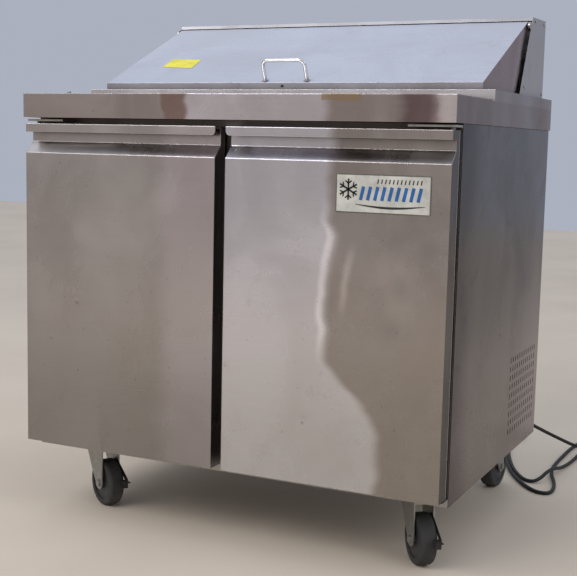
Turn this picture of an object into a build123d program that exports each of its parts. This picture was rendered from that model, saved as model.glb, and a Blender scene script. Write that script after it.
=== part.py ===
"""Two-door refrigerated sandwich prep table on swivel casters.

Millimetres, +Z up, +X to the right, +Y to the back. The origin is on the floor, under the
middle of the table's width and of its depth, rear wheels included. The worktop has a low front
ledge and a raised rear deck with the food pans. A wedge-shaped lid covers the pans and hinges
at the rear hood.
"""
from build123d import *
import os
from math import cos, radians, sin, tan

os.makedirs("parts", exist_ok=True)

# Overall sizes
WIDTH = 924.0
DEPTH = 704.0
REAR_OVERHANG = 34.6
FRONT = -(DEPTH + REAR_OVERHANG) / 2
BACK = FRONT + DEPTH
LEDGE_Z = 885.0
DECK_RISE = 19.5
DECK_Z = LEDGE_Z + DECK_RISE
HOOD_TOP_Z = LEDGE_Z + 194.0
CABINET_BOTTOM_Z = 139.0
BAND_HEIGHT = 48.5
UNDERSIDE_Z = LEDGE_Z - BAND_HEIGHT
LEDGE_DEPTH = 236.0
SHEET = 1.2
WORKTOP_SHEET = 1.5

# Cabinet
CABINET_HALF = 459.0
CABINET_FRONT = FRONT + 52.2
CABINET_BACK = BACK - 2.0
FRAME_T = 3.0
MULLION_HALF = 40.0
LINER_HALF = 414.0
MACHINE_FRONT = FRONT + 458.0
MACHINE_TOP_Z = 353.0
LINER_BACK = FRONT + 640.0
LINER_LOW_BACK = FRONT + 440.0
LINER_BOTTOM_Z = 160.0
LINER_STEP_Z = 380.0
LINER_CEILING_Z = 826.0
THROAT_FRONT = FRONT + 262.0
FIT = 0.2

# Doors
DOOR_FACE = FRONT + 1.6
DOOR_T = 40.0
DOOR_INNER_X = 11.5
DOOR_OUTER_X = 457.0
DOOR_BOTTOM_Z = 158.0
DOOR_TOP_Z = 824.0
DOOR_SHEET = 1.0
GASKET_T = 10.2
GASKET_INSET = 12.0
GASKET_WIDE = 18.0
HINGE_X = DOOR_OUTER_X - 10.0
HINGE_Y = FRONT + 32.0
HINGE_PIN_R = 4.0
RUNNING = 0.05
GRIP_DEPTH = 23.0
GRIP_LOW_Z = LEDGE_Z - 120.0
GRIP_WALL_Z = LEDGE_Z - 97.0
LIP_BOTTOM_Z = LEDGE_Z - 78.0
LIP_T = 2.5
LIP_CORNER_R = 9.0
GRIP_TOP_T = 3.0
GRIP_END = 17.0

# Lid and hood. The lid's slope runs up to the hood, whose front edge leans back.
LID_HALF = 432.0
LID_FRONT = FRONT + 255.0
LID_BOTTOM_Z = DECK_Z + 1.0
LID_FLANGE_Z = LEDGE_Z + 34.5
LID_SLOPE = 24.4
LID_REAR_LOW_Y = FRONT + 497.0
LID_LEAN = 26.6
LID_LINER_INSET = 14.0
LID_LINER_T = 2.0
LID_AXIS_Y = FRONT + 573.0
LID_AXIS_Z = LEDGE_Z + 171.5
LID_PIN_R = 3.0
HOOD_HALF = 440.0
HOOD_FRONT_LOW_Y = FRONT + 502.0
HOOD_FRONT_TOP_Y = FRONT + 588.0
HOOD_FRONT_TOP_Z = LEDGE_Z + 191.0
HOOD_LIP_Y = FRONT + 584.3
HOOD_LIP_Z = LEDGE_Z + 183.5
EAR_R = 8.0
HANDLE_HALF = 48.0
HANDLE_ROD_R = 4.0
HANDLE_RISE = 44.0
HANDLE_X = 7.0
HANDLE_FOOT_Y = FRONT + 267.0

# Food pans, third size
PAN_COUNT = 4
PAN_PITCH = 178.0
PAN_RIM_X = 177.0
PAN_RIM_Y = 326.0
PAN_BODY_X = 161.0
PAN_BODY_Y = 310.0
PAN_DEPTH = 100.0
PAN_T = 0.8
PAN_Y = FRONT + 440.0
WELL_X = 716.0
WELL_Y = 332.0
WELL_DROP = 12.0
WELL_LEDGE = 9.0

# Casters: the wheel trails behind its stem
STEM_X = 367.0
FRONT_STEM_Y = FRONT + 141.0
REAR_STEM_Y = FRONT + 655.0
TRAIL = 33.0
WHEEL_R = 50.0
HUB_R = 36.0
TYRE_HALF = 16.0
LEG_GAP_HALF = 18.5
LEG_T = 3.0
LEG_OUT = LEG_GAP_HALF + LEG_T
AXLE_R = 4.0
KINGPIN_R = 6.0
CROWN_TOP_Z = 127.5
CROWN_T = 6.5
PEDAL_PIVOT_U = 40.0
PEDAL_PIVOT_Z = 95.0
PEDAL_PIN_R = 3.0
PEDAL_ARM_T = 1.4
PEDAL_ARM_OUT = 18.0
CASTERS = {
    "front_left": (-STEM_X, FRONT_STEM_Y, -29.0),
    "front_right": (STEM_X, FRONT_STEM_Y, -50.0),
    "rear_left": (-STEM_X, REAR_STEM_Y, 72.5),
    "rear_right": (STEM_X, REAR_STEM_Y, 84.0),
}

# Refrigeration parts
FAN_Y = FRONT + 580.0
FAN_Z = 250.0
EVAPORATOR_FAN_X = -90.0
EVAPORATOR_FRONT = FRONT + 548.0
EVAPORATOR_Z = 480.0
KNOB_X = 105.0
SWITCH_X = 150.0
CONTROL_Z = 530.0

# Power cord, 8.5 mm thick. It falls from its gland to the floor, runs out and back beside the
# rear caster, and ends in its plug.
CORD_R = 4.25
CORD_LIE_Z = CORD_R + 0.35
GLAND_X = 400.0
GLAND_Z = 165.0
GLAND_LENGTH = 24.0
CORD_START_Y = CABINET_BACK + GLAND_LENGTH
PLUG_HALF_Z = 12.0
PLUG_HALF_X = 14.0
PLUG_Z = PLUG_HALF_Z + 0.4
HUMP_Z = 21.6


def save(piece, name):
    """Label a finished piece and write it as one STEP file."""
    piece.part.label = name
    export_step(piece.part, f"parts/{name}.step")


def block(x_span, y_span, z_span, mode=Mode.ADD):
    """A box between the given spans, in the current part."""
    with BuildSketch(Plane.XY.offset(z_span[0])) as base:
        with Locations(((x_span[0] + x_span[1]) / 2, (y_span[0] + y_span[1]) / 2)):
            Rectangle(x_span[1] - x_span[0], y_span[1] - y_span[0])
    extrude(base.sketch, amount=z_span[1] - z_span[0], mode=mode)


def side_profile(points, half_width, mode=Mode.ADD):
    """A front-to-back profile in Y and Z, drawn out equally to the left and the right."""
    with BuildSketch(Plane.YZ) as section:
        Polygon(points)
    extrude(section.sketch, amount=half_width, both=True, mode=mode)


def rod_x(x_span, y, z, radius, mode=Mode.ADD):
    """A round bar along X."""
    with BuildSketch(Plane.YZ.offset(x_span[0])) as end:
        with Locations((y, z)):
            Circle(radius)
    extrude(end.sketch, amount=x_span[1] - x_span[0], mode=mode)


def rod_y(y_span, x, z, radius, mode=Mode.ADD):
    """A round bar along Y."""
    plane = Plane(origin=(x, y_span[0], z), x_dir=(1, 0, 0), z_dir=(0, 1, 0))
    with BuildSketch(plane) as end:
        Circle(radius)
    extrude(end.sketch, amount=y_span[1] - y_span[0], mode=mode)


def rod_z(z_span, x, y, radius, mode=Mode.ADD):
    """A round bar along Z."""
    with BuildSketch(Plane.XY.offset(z_span[0])) as end:
        with Locations((x, y)):
            Circle(radius)
    extrude(end.sketch, amount=z_span[1] - z_span[0], mode=mode)


# ---------------------------------------------------------------- worktop and pans
def worktop_points(inset, bottom_z):
    """The stepped section of the worktop, moved inwards by the sheet's thickness."""
    return [
        (FRONT + inset, bottom_z),
        (FRONT + inset, LEDGE_Z - inset),
        (FRONT + LEDGE_DEPTH + inset, LEDGE_Z - inset),
        (FRONT + LEDGE_DEPTH + inset, DECK_Z - inset),
        (BACK - inset, DECK_Z - inset),
        (BACK - inset, bottom_z),
    ]


well_x = (-WELL_X / 2, WELL_X / 2)
well_y = (PAN_Y - WELL_Y / 2, PAN_Y + WELL_Y / 2)
well_floor_z = DECK_Z - WELL_DROP
with BuildPart() as worktop:
    side_profile(worktop_points(0, UNDERSIDE_Z), WIDTH / 2)
    side_profile(
        worktop_points(WORKTOP_SHEET, UNDERSIDE_Z - 1), WIDTH / 2 - WORKTOP_SHEET, Mode.SUBTRACT
    )
    # The overhang in front of the cabinet is closed from below.
    block(
        (-WIDTH / 2, WIDTH / 2),
        (FRONT, CABINET_FRONT + FRAME_T),
        (UNDERSIDE_Z, UNDERSIDE_Z + WORKTOP_SHEET),
    )
    # The well's wall turns down from the deck and ends in a ledge that carries the pans.
    wall_x = (well_x[0] - WORKTOP_SHEET, well_x[1] + WORKTOP_SHEET)
    wall_y = (well_y[0] - WORKTOP_SHEET, well_y[1] + WORKTOP_SHEET)
    block(wall_x, wall_y, (well_floor_z - WORKTOP_SHEET, DECK_Z))
    block(well_x, well_y, (well_floor_z, DECK_Z + 1), Mode.SUBTRACT)
    block(
        (well_x[0] + WELL_LEDGE, well_x[1] - WELL_LEDGE),
        (well_y[0] + WELL_LEDGE, well_y[1] - WELL_LEDGE),
        (well_floor_z - 3, well_floor_z + 1),
        Mode.SUBTRACT,
    )
save(worktop, "worktop")

BAR_HALF = 5.0
BAR_DROP = 8.5
with BuildPart() as pan_bars:
    for index in range(1, PAN_COUNT):
        bar_x = (index - PAN_COUNT / 2) * PAN_PITCH
        block(
            (bar_x - BAR_HALF, bar_x + BAR_HALF),
            (well_y[0] + WELL_LEDGE, well_y[1] - WELL_LEDGE),
            (well_floor_z - BAR_DROP, well_floor_z - 0.1),
        )
save(pan_bars, "pan_bars")

pan_rim_z = well_floor_z + 0.1
with BuildPart() as food_pans:
    pan_places = [((index - (PAN_COUNT - 1) / 2) * PAN_PITCH, PAN_Y) for index in range(PAN_COUNT)]
    with BuildSketch(Plane.XY.offset(pan_rim_z)):
        with Locations(*pan_places):
            RectangleRounded(PAN_RIM_X, PAN_RIM_Y, 10)
    extrude(amount=PAN_T)
    with BuildSketch(Plane.XY.offset(pan_rim_z + PAN_T)):
        with Locations(*pan_places):
            RectangleRounded(PAN_BODY_X, PAN_BODY_Y, 16)
    extrude(amount=-PAN_DEPTH)
    with BuildSketch(Plane.XY.offset(pan_rim_z + PAN_T)):
        with Locations(*pan_places):
            RectangleRounded(PAN_BODY_X - 2 * PAN_T, PAN_BODY_Y - 2 * PAN_T, 15)
    extrude(amount=-(PAN_DEPTH - PAN_T), mode=Mode.SUBTRACT)
save(food_pans, "food_pans")

STOP_T = 1.5
with BuildPart() as board_stop:
    block((-WIDTH / 2 + 2, -WIDTH / 2 + 16), (FRONT + 112, FRONT + 157), (LEDGE_Z, LEDGE_Z + STOP_T))
    with BuildSketch(Plane.YZ.offset(-WIDTH / 2 + 2)):
        Polygon([(FRONT + 112, LEDGE_Z), (FRONT + 157, LEDGE_Z), (FRONT + 157, LEDGE_Z + 12)])
    extrude(amount=STOP_T)
save(board_stop, "board_stop")

# ---------------------------------------------------------------- cabinet
panel_inner = CABINET_HALF - SHEET
panel_y = (CABINET_FRONT, CABINET_BACK)
panel_z = (CABINET_BOTTOM_Z, UNDERSIDE_Z)
with BuildPart() as left_side_panel:
    block((-CABINET_HALF, -panel_inner), panel_y, panel_z)
save(left_side_panel, "left_side_panel")

VENT_COLUMNS = 12
VENT_ROWS = 9
VENT_PITCH_Y = 18.5
VENT_PITCH_Z = 19.5
VENT_SLOT_Y = 5.0
VENT_SLOT_Z = 11.5
with BuildPart() as right_side_panel:
    block((panel_inner, CABINET_HALF), panel_y, panel_z)
    vent_plane = Plane(
        origin=(CABINET_HALF, FRONT + 564.5, LEDGE_Z - 617.0), x_dir=(0, 1, 0), z_dir=(1, 0, 0)
    )
    with BuildSketch(vent_plane):
        with GridLocations(VENT_PITCH_Y, VENT_PITCH_Z, VENT_COLUMNS, VENT_ROWS):
            Rectangle(VENT_SLOT_Y, VENT_SLOT_Z)
    extrude(amount=-2 * SHEET, mode=Mode.SUBTRACT)
save(right_side_panel, "right_side_panel")

shell_half = panel_inner - 0.1
with BuildPart() as back_panel:
    block(
        (-shell_half, shell_half),
        (CABINET_BACK - SHEET, CABINET_BACK),
        (MACHINE_TOP_Z + 3, UNDERSIDE_Z - 0.1),
    )
save(back_panel, "back_panel")

with BuildPart() as rear_grille:
    block(
        (-shell_half, shell_half),
        (CABINET_BACK - SHEET, CABINET_BACK),
        (CABINET_BOTTOM_Z + 4.2, MACHINE_TOP_Z + 2.8),
    )
    grille_plane = Plane(
        origin=(0, CABINET_BACK, GLAND_Z + 95.0), x_dir=(-1, 0, 0), z_dir=(0, 1, 0)
    )
    with BuildSketch(grille_plane):
        with GridLocations(96.0, 15.0, 8, 10):
            SlotOverall(76, 5)
    extrude(amount=-2 * SHEET, mode=Mode.SUBTRACT)
    rod_y((CABINET_BACK - 5, CABINET_BACK + 1), GLAND_X, GLAND_Z, 9.0, Mode.SUBTRACT)
save(rear_grille, "rear_grille")

with BuildPart() as base_pan:
    block(
        (-shell_half, shell_half),
        (CABINET_FRONT + FRAME_T + 0.1, CABINET_BACK - SHEET - 0.1),
        (CABINET_BOTTOM_Z, CABINET_BOTTOM_Z + 2.5),
    )
save(base_pan, "base_pan")

frame_y = (CABINET_FRONT, CABINET_FRONT + FRAME_T)
with BuildPart() as front_frame:
    block((-shell_half, shell_half), frame_y, (CABINET_BOTTOM_Z, UNDERSIDE_Z - 0.1))
    for side in (-1, 1):
        near, far = sorted((side * MULLION_HALF, side * LINER_HALF))
        block(
            (near, far),
            (frame_y[0] - 1, frame_y[1] + 1),
            (DOOR_BOTTOM_Z + 30, DOOR_TOP_Z - 32),
            Mode.SUBTRACT,
        )
save(front_frame, "front_frame")


def liner_points(inset, front_y, top_z):
    """The stepped section of the cold space: deep above, shallow in front of the machine space."""
    return [
        (front_y, LINER_BOTTOM_Z + inset),
        (LINER_LOW_BACK - inset, LINER_BOTTOM_Z + inset),
        (LINER_LOW_BACK - inset, LINER_STEP_Z + inset),
        (LINER_BACK - inset, LINER_STEP_Z + inset),
        (LINER_BACK - inset, top_z),
        (THROAT_FRONT + inset, top_z),
        (THROAT_FRONT + inset, LINER_CEILING_Z - inset),
        (front_y, LINER_CEILING_Z - inset),
    ]


liner_front = frame_y[1] + 0.1
liner_top = DECK_Z - WORKTOP_SHEET - 0.2
with BuildPart() as inner_liner:
    side_profile(liner_points(0, liner_front, liner_top), LINER_HALF)
    side_profile(
        liner_points(SHEET, liner_front - 1, liner_top + 1), LINER_HALF - SHEET, Mode.SUBTRACT
    )
save(inner_liner, "inner_liner")

with BuildPart() as cabinet_foam:
    foam_bottom = CABINET_BOTTOM_Z + 2.5 + FIT
    foam_back = CABINET_BACK - SHEET - FIT
    foam_top = UNDERSIDE_Z - FIT
    foam_section = [
        (liner_front, foam_bottom),
        (MACHINE_FRONT, foam_bottom),
        (MACHINE_FRONT, MACHINE_TOP_Z),
        (foam_back, MACHINE_TOP_Z),
        (foam_back, foam_top),
        (liner_front, foam_top),
    ]
    side_profile(foam_section, shell_half - FIT)
    side_profile(
        liner_points(-FIT, liner_front - 1, liner_top + 1), LINER_HALF + FIT, Mode.SUBTRACT
    )
save(cabinet_foam, "cabinet_foam")

# ---------------------------------------------------------------- door hinges and doors
bottom_bracket_z = (152.0, 155.0)
top_bracket_z = (829.0, 833.0)
with BuildPart() as door_hinges:
    for side in (-1, 1):
        low_x = sorted((side * 385, side * 458.5))
        top_x = sorted((side * 371, side * 458.5))
        block(low_x, (FRONT + 22, CABINET_FRONT), bottom_bracket_z)
        block(low_x, (CABINET_FRONT - 2, CABINET_FRONT), (143, bottom_bracket_z[0]))
        rod_z((bottom_bracket_z[0], DOOR_BOTTOM_Z + 7), side * HINGE_X, HINGE_Y, HINGE_PIN_R)
        block(top_x, (FRONT + 10, CABINET_FRONT), top_bracket_z)
        rod_z((DOOR_TOP_Z - 3.5, top_bracket_z[1]), side * HINGE_X, HINGE_Y, HINGE_PIN_R)
save(door_hinges, "door_hinges")


def door_outline(y):
    """Door section with the finger recess under its top lip; y is the door's front face."""
    return [
        (y, DOOR_BOTTOM_Z),
        (y, GRIP_LOW_Z),
        (y + GRIP_DEPTH, GRIP_WALL_Z),
        (y + GRIP_DEPTH, DOOR_TOP_Z - GRIP_TOP_T),
        (y + LIP_T, DOOR_TOP_Z - GRIP_TOP_T),
        (y + LIP_T, LIP_BOTTOM_Z),
        (y, LIP_BOTTOM_Z),
        (y, DOOR_TOP_Z),
        (y + DOOR_T - 1.5, DOOR_TOP_Z),
        (y + DOOR_T - 1.5, DOOR_BOTTOM_Z),
    ]


def door_hollow(inset, back_y):
    """Section of the space inside the door's skin."""
    y = DOOR_FACE + inset
    return [
        (y, DOOR_BOTTOM_Z + inset),
        (y, GRIP_LOW_Z - 0.4 * inset),
        (y + GRIP_DEPTH, GRIP_WALL_Z - 0.4 * inset),
        (y + GRIP_DEPTH, DOOR_TOP_Z - inset),
        (back_y, DOOR_TOP_Z - inset),
        (back_y, DOOR_BOTTOM_Z + inset),
    ]


def door_plane(side):
    """The YZ plane at the door's hinge-side or middle-side edge, whichever is further left."""
    return Plane.YZ.offset(min(side * DOOR_INNER_X, side * DOOR_OUTER_X))


def make_door(side, prefix):
    """Skin, foam, liner and gasket of one door; side is -1 for the left, 1 for the right."""
    door_width = DOOR_OUTER_X - DOOR_INNER_X
    left_x = min(side * DOOR_INNER_X, side * DOOR_OUTER_X)
    right_x = left_x + door_width
    skin_back = DOOR_FACE + DOOR_T - 1.5
    pin_x = side * HINGE_X
    with BuildPart() as skin:
        with BuildSketch(door_plane(side)):
            Polygon(door_outline(DOOR_FACE))
        extrude(amount=door_width)
        with BuildSketch(door_plane(side).offset(DOOR_SHEET)):
            Polygon(door_hollow(DOOR_SHEET, skin_back + 1))
        extrude(amount=door_width - 2 * DOOR_SHEET, mode=Mode.SUBTRACT)
        # The finger recess is closed at the hinge end by a cap behind the lip.
        cap_x = sorted((side * (DOOR_OUTER_X - GRIP_END), side * DOOR_OUTER_X))
        block(cap_x, (DOOR_FACE, DOOR_FACE + GRIP_DEPTH), (LIP_BOTTOM_Z, DOOR_TOP_Z))
        # The lip's lower corner is rounded at the open end.
        lip_back = Plane(origin=(0, DOOR_FACE + LIP_T + 0.5, 0), x_dir=(1, 0, 0), z_dir=(0, -1, 0))
        corner_x = side * DOOR_INNER_X
        with BuildSketch(lip_back) as corner:
            with Locations((corner_x + side * LIP_CORNER_R / 2, LIP_BOTTOM_Z + LIP_CORNER_R / 2)):
                Rectangle(LIP_CORNER_R, LIP_CORNER_R)
            with Locations((corner_x + side * LIP_CORNER_R, LIP_BOTTOM_Z + LIP_CORNER_R)):
                Circle(LIP_CORNER_R, mode=Mode.SUBTRACT)
        extrude(corner.sketch, amount=LIP_T + 1, mode=Mode.SUBTRACT)
        for hole_z in ((DOOR_BOTTOM_Z - 1, DOOR_BOTTOM_Z + 3), (DOOR_TOP_Z - 4, DOOR_TOP_Z + 1)):
            rod_z(hole_z, pin_x, HINGE_Y, HINGE_PIN_R + RUNNING, Mode.SUBTRACT)
    save(skin, f"{prefix}_skin")
    gap = DOOR_SHEET + 0.1
    with BuildPart() as foam:
        with BuildSketch(door_plane(side).offset(gap)):
            Polygon(door_hollow(gap, skin_back - 0.1))
        extrude(amount=door_width - 2 * gap)
        for hole_z in ((DOOR_BOTTOM_Z, DOOR_BOTTOM_Z + 9), (DOOR_TOP_Z - 6, DOOR_TOP_Z)):
            rod_z(hole_z, pin_x, HINGE_Y, HINGE_PIN_R + 1, Mode.SUBTRACT)
    save(foam, f"{prefix}_foam")
    with BuildPart() as liner:
        block((left_x, right_x), (skin_back, DOOR_FACE + DOOR_T), (DOOR_BOTTOM_Z, DOOR_TOP_Z))
        block(
            (left_x + 31, right_x - 31),
            (DOOR_FACE + DOOR_T, DOOR_FACE + DOOR_T + 6),
            (DOOR_BOTTOM_Z + 31, DOOR_TOP_Z - 33),
        )
    save(liner, f"{prefix}_liner")
    with BuildPart() as gasket:
        inner = GASKET_INSET + GASKET_WIDE
        gasket_y = (DOOR_FACE + DOOR_T, DOOR_FACE + DOOR_T + GASKET_T)
        block(
            (left_x + GASKET_INSET, right_x - GASKET_INSET),
            gasket_y,
            (DOOR_BOTTOM_Z + GASKET_INSET, DOOR_TOP_Z - GASKET_INSET),
        )
        block(
            (left_x + inner, right_x - inner),
            (gasket_y[0] - 1, gasket_y[1] + 1),
            (DOOR_BOTTOM_Z + inner, DOOR_TOP_Z - inner),
            Mode.SUBTRACT,
        )
    save(gasket, f"{prefix}_gasket")


make_door(-1, "left_door")
make_door(1, "right_door")

with BuildPart() as badge:
    badge_plane = Plane(
        origin=(331.5, DOOR_FACE, LEDGE_Z - 176.5), x_dir=(1, 0, 0), z_dir=(0, -1, 0)
    )
    with BuildSketch(badge_plane):
        RectangleRounded(180, 69, 5)
    extrude(amount=1.6)
save(badge, "badge")

# ---------------------------------------------------------------- lid
def lid_points(inset, bottom_z):
    """Wedge section of the lid, moved inwards by inset and cut level at bottom_z."""
    slope = tan(radians(LID_SLOPE))
    lean = tan(radians(LID_LEAN))
    front_y = LID_FRONT + inset
    slope_drop = inset / cos(radians(LID_SLOPE))
    rear_shift = inset / cos(radians(LID_LEAN))
    front_z = LID_FLANGE_Z + slope * (front_y - LID_FRONT) - slope_drop
    rear_low_y = LID_REAR_LOW_Y - rear_shift + lean * (bottom_z - LID_BOTTOM_Z)
    # Where the slope's line meets the leaning rear wall
    rise = LID_FLANGE_Z - slope_drop - slope * LID_FRONT
    offset = LID_REAR_LOW_Y - rear_shift - lean * LID_BOTTOM_Z
    top_z = (rise + slope * offset) / (1 - slope * lean)
    top_y = offset + lean * top_z
    return [(front_y, bottom_z), (front_y, front_z), (top_y, top_z), (rear_low_y, bottom_z)]


lid_sheet = 1.0
with BuildPart() as lid_skin:
    side_profile(lid_points(0, LID_BOTTOM_Z), LID_HALF)
    side_profile(lid_points(lid_sheet, LID_BOTTOM_Z - 1), LID_HALF - lid_sheet, Mode.SUBTRACT)
    for side in (-1, 1):
        pin_x = sorted((side * (LID_HALF - lid_sheet), side * (HOOD_HALF - SHEET - 0.4)))
        rod_x(pin_x, LID_AXIS_Y, LID_AXIS_Z, LID_PIN_R)
save(lid_skin, "lid_skin")

liner_inset = LID_LINER_INSET
liner_inner = LID_LINER_INSET + LID_LINER_T
skin_gap = lid_sheet + 0.1
with BuildPart() as lid_liner:
    side_profile(lid_points(liner_inset, LID_BOTTOM_Z), LID_HALF - liner_inset)
    with BuildSketch(Plane.XY.offset(LID_BOTTOM_Z)):
        rim_front = LID_FRONT + skin_gap
        rim_back = LID_REAR_LOW_Y - skin_gap - 0.1
        with Locations((0, (rim_front + rim_back) / 2)):
            Rectangle(2 * (LID_HALF - skin_gap), rim_back - rim_front)
    extrude(amount=LID_LINER_T)
    side_profile(lid_points(liner_inner, LID_BOTTOM_Z - 1), LID_HALF - liner_inner, Mode.SUBTRACT)
save(lid_liner, "lid_liner")

with BuildPart() as lid_foam:
    foam_z = LID_BOTTOM_Z + LID_LINER_T + 0.1
    side_profile(lid_points(skin_gap, foam_z), LID_HALF - skin_gap)
    side_profile(
        lid_points(liner_inset - 0.1, foam_z - 3), LID_HALF - liner_inset + 0.1, Mode.SUBTRACT
    )
save(lid_foam, "lid_foam")

foot_z = LID_FLANGE_Z + tan(radians(LID_SLOPE)) * (HANDLE_FOOT_Y - LID_FRONT)
handle_plane = Plane(
    origin=(HANDLE_X, HANDLE_FOOT_Y, foot_z),
    x_dir=(1, 0, 0),
    z_dir=(0, -sin(radians(LID_SLOPE)), cos(radians(LID_SLOPE))),
)
with BuildPart() as lid_handle:
    corners = [
        (-HANDLE_HALF, 0, 0),
        (-HANDLE_HALF, 0, HANDLE_RISE),
        (HANDLE_HALF, 0, HANDLE_RISE),
        (HANDLE_HALF, 0, 0),
    ]
    with BuildLine():
        bar_line = FilletPolyline(*[handle_plane.from_local_coords(p) for p in corners], radius=13)
    with BuildSketch(Plane(origin=bar_line @ 0, z_dir=bar_line % 0)):
        Circle(HANDLE_ROD_R)
    sweep()
    with BuildSketch(handle_plane):
        with Locations((-HANDLE_HALF, 0), (HANDLE_HALF, 0)):
            Circle(7)
    extrude(amount=1.5)
save(lid_handle, "lid_handle")

# ---------------------------------------------------------------- hood
with BuildPart() as hood_shell:
    hood_section = [
        (HOOD_LIP_Y, HOOD_LIP_Z),
        (HOOD_FRONT_TOP_Y, HOOD_FRONT_TOP_Z),
        (BACK, HOOD_TOP_Z),
        (BACK, DECK_Z),
        (BACK - SHEET, DECK_Z),
        (BACK - SHEET, HOOD_TOP_Z - SHEET),
        (HOOD_FRONT_TOP_Y + 0.8, HOOD_FRONT_TOP_Z - SHEET),
        (HOOD_LIP_Y + 1.2, HOOD_LIP_Z - 0.5),
    ]
    side_profile(hood_section, HOOD_HALF - SHEET - 0.1)
save(hood_shell, "hood_shell")

with BuildPart() as hood_ends:
    for side in (-1, 1):
        end_x = min(side * HOOD_HALF, side * (HOOD_HALF - SHEET))
        ear_low = min(side * 434.5, side * (HOOD_HALF - SHEET / 2))
        with BuildSketch(Plane.YZ.offset(end_x)):
            Polygon(
                [
                    (HOOD_FRONT_LOW_Y, DECK_Z),
                    (HOOD_FRONT_TOP_Y, HOOD_FRONT_TOP_Z),
                    (BACK, HOOD_TOP_Z),
                    (BACK, DECK_Z),
                ]
            )
        extrude(amount=SHEET)
        rod_x(
            (ear_low, ear_low + HOOD_HALF - SHEET / 2 - 434.5), LID_AXIS_Y, LID_AXIS_Z, EAR_R
        )
        hole_x = sorted((side * 430, side * (HOOD_HALF - SHEET)))
        rod_x(hole_x, LID_AXIS_Y, LID_AXIS_Z, LID_PIN_R + RUNNING, Mode.SUBTRACT)
save(hood_ends, "hood_ends")

SCREW_PLACES = [(610, 184), (690, 185), (537, 41), (694, 33)]
with BuildPart() as hood_screws:
    for side in (-1, 1):
        head_x = sorted((side * HOOD_HALF, side * (HOOD_HALF + 1.8)))
        for place_y, place_z in SCREW_PLACES:
            rod_x(head_x, FRONT + place_y, LEDGE_Z + place_z, 3.6)
save(hood_screws, "hood_screws")

# ---------------------------------------------------------------- casters
with BuildPart() as caster_plates:
    for stem_x, stem_y, _ in CASTERS.values():
        block((stem_x - 50, stem_x + 50), (stem_y - 40, stem_y + 40), (135, CABINET_BOTTOM_Z))
        rod_z((128, 135), stem_x, stem_y, 24)
        rod_z((116, 128), stem_x, stem_y, KINGPIN_R)
        rod_z((116, CROWN_TOP_Z - CROWN_T - 0.5), stem_x, stem_y, 10)
save(caster_plates, "caster_plates")


def wheel_side(caster, sideways):
    """Upright plane along a caster's trail: local x is the trail, local y is height."""
    stem_x, stem_y, heading = caster
    trail = Vector(cos(radians(heading)), sin(radians(heading)), 0)
    across = Vector(-trail.Y, trail.X, 0)
    return Plane(origin=Vector(stem_x, stem_y, 0) + across * sideways, x_dir=trail, z_dir=-across)


def bar_across(caster, sideways, u, z, radius, length, mode=Mode.ADD):
    """A round bar along the wheel's axle direction."""
    with BuildSketch(wheel_side(caster, sideways)) as end:
        with Locations((u, z)):
            Circle(radius)
    extrude(end.sketch, amount=length, mode=mode)


def make_fork(caster, name, has_brake):
    crown_bottom = CROWN_TOP_Z - CROWN_T
    with BuildPart() as fork:
        for sideways in (LEG_OUT, -LEG_GAP_HALF):
            with BuildSketch(wheel_side(caster, sideways)):
                Polygon([(-24, 124), (47, 124), (47, 50), (20, 45), (-1, 76), (-22, 112)])
                with Locations((TRAIL, WHEEL_R)):
                    Circle(14)
            extrude(amount=LEG_T)
        with BuildSketch(wheel_side(caster, LEG_OUT)):
            Polygon([(-24, crown_bottom), (47, crown_bottom), (47, CROWN_TOP_Z), (-24, CROWN_TOP_Z)])
        extrude(amount=2 * LEG_OUT)
        rod_z((crown_bottom - 1, CROWN_TOP_Z + 1), caster[0], caster[1], KINGPIN_R + 0.06, Mode.SUBTRACT)
        bar_across(caster, LEG_OUT + 4, TRAIL, WHEEL_R, 7.5, 4)
        bar_across(caster, -LEG_OUT, TRAIL, WHEEL_R, 7.5, 4)
        bar_across(caster, LEG_OUT + 4, TRAIL, WHEEL_R, AXLE_R, 2 * LEG_OUT + 8)
        if has_brake:
            pin_length = LEG_OUT + 1.5 - TYRE_HALF
            bar_across(
                caster, LEG_OUT + 2, PEDAL_PIVOT_U, PEDAL_PIVOT_Z, PEDAL_PIN_R, pin_length
            )
    save(fork, f"{name}_fork")


def make_wheel(caster, name):
    bore = AXLE_R + RUNNING
    with BuildPart() as tyre:
        bar_across(caster, TYRE_HALF, TRAIL, WHEEL_R, WHEEL_R, 2 * TYRE_HALF)
        fillet(tyre.edges().filter_by(GeomType.CIRCLE), radius=6)
        bar_across(caster, TYRE_HALF + 1, TRAIL, WHEEL_R, HUB_R, 2 * TYRE_HALF + 2, Mode.SUBTRACT)
    save(tyre, f"{name}_tyre")
    with BuildPart() as hub:
        bar_across(caster, 13, TRAIL, WHEEL_R, HUB_R, 26)
        bar_across(caster, LEG_GAP_HALF - 0.3, TRAIL, WHEEL_R, 11, 2 * LEG_GAP_HALF - 0.6)
        bar_across(caster, LEG_OUT, TRAIL, WHEEL_R, bore, 2 * LEG_OUT, Mode.SUBTRACT)
    save(hub, f"{name}_hub")


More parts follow.
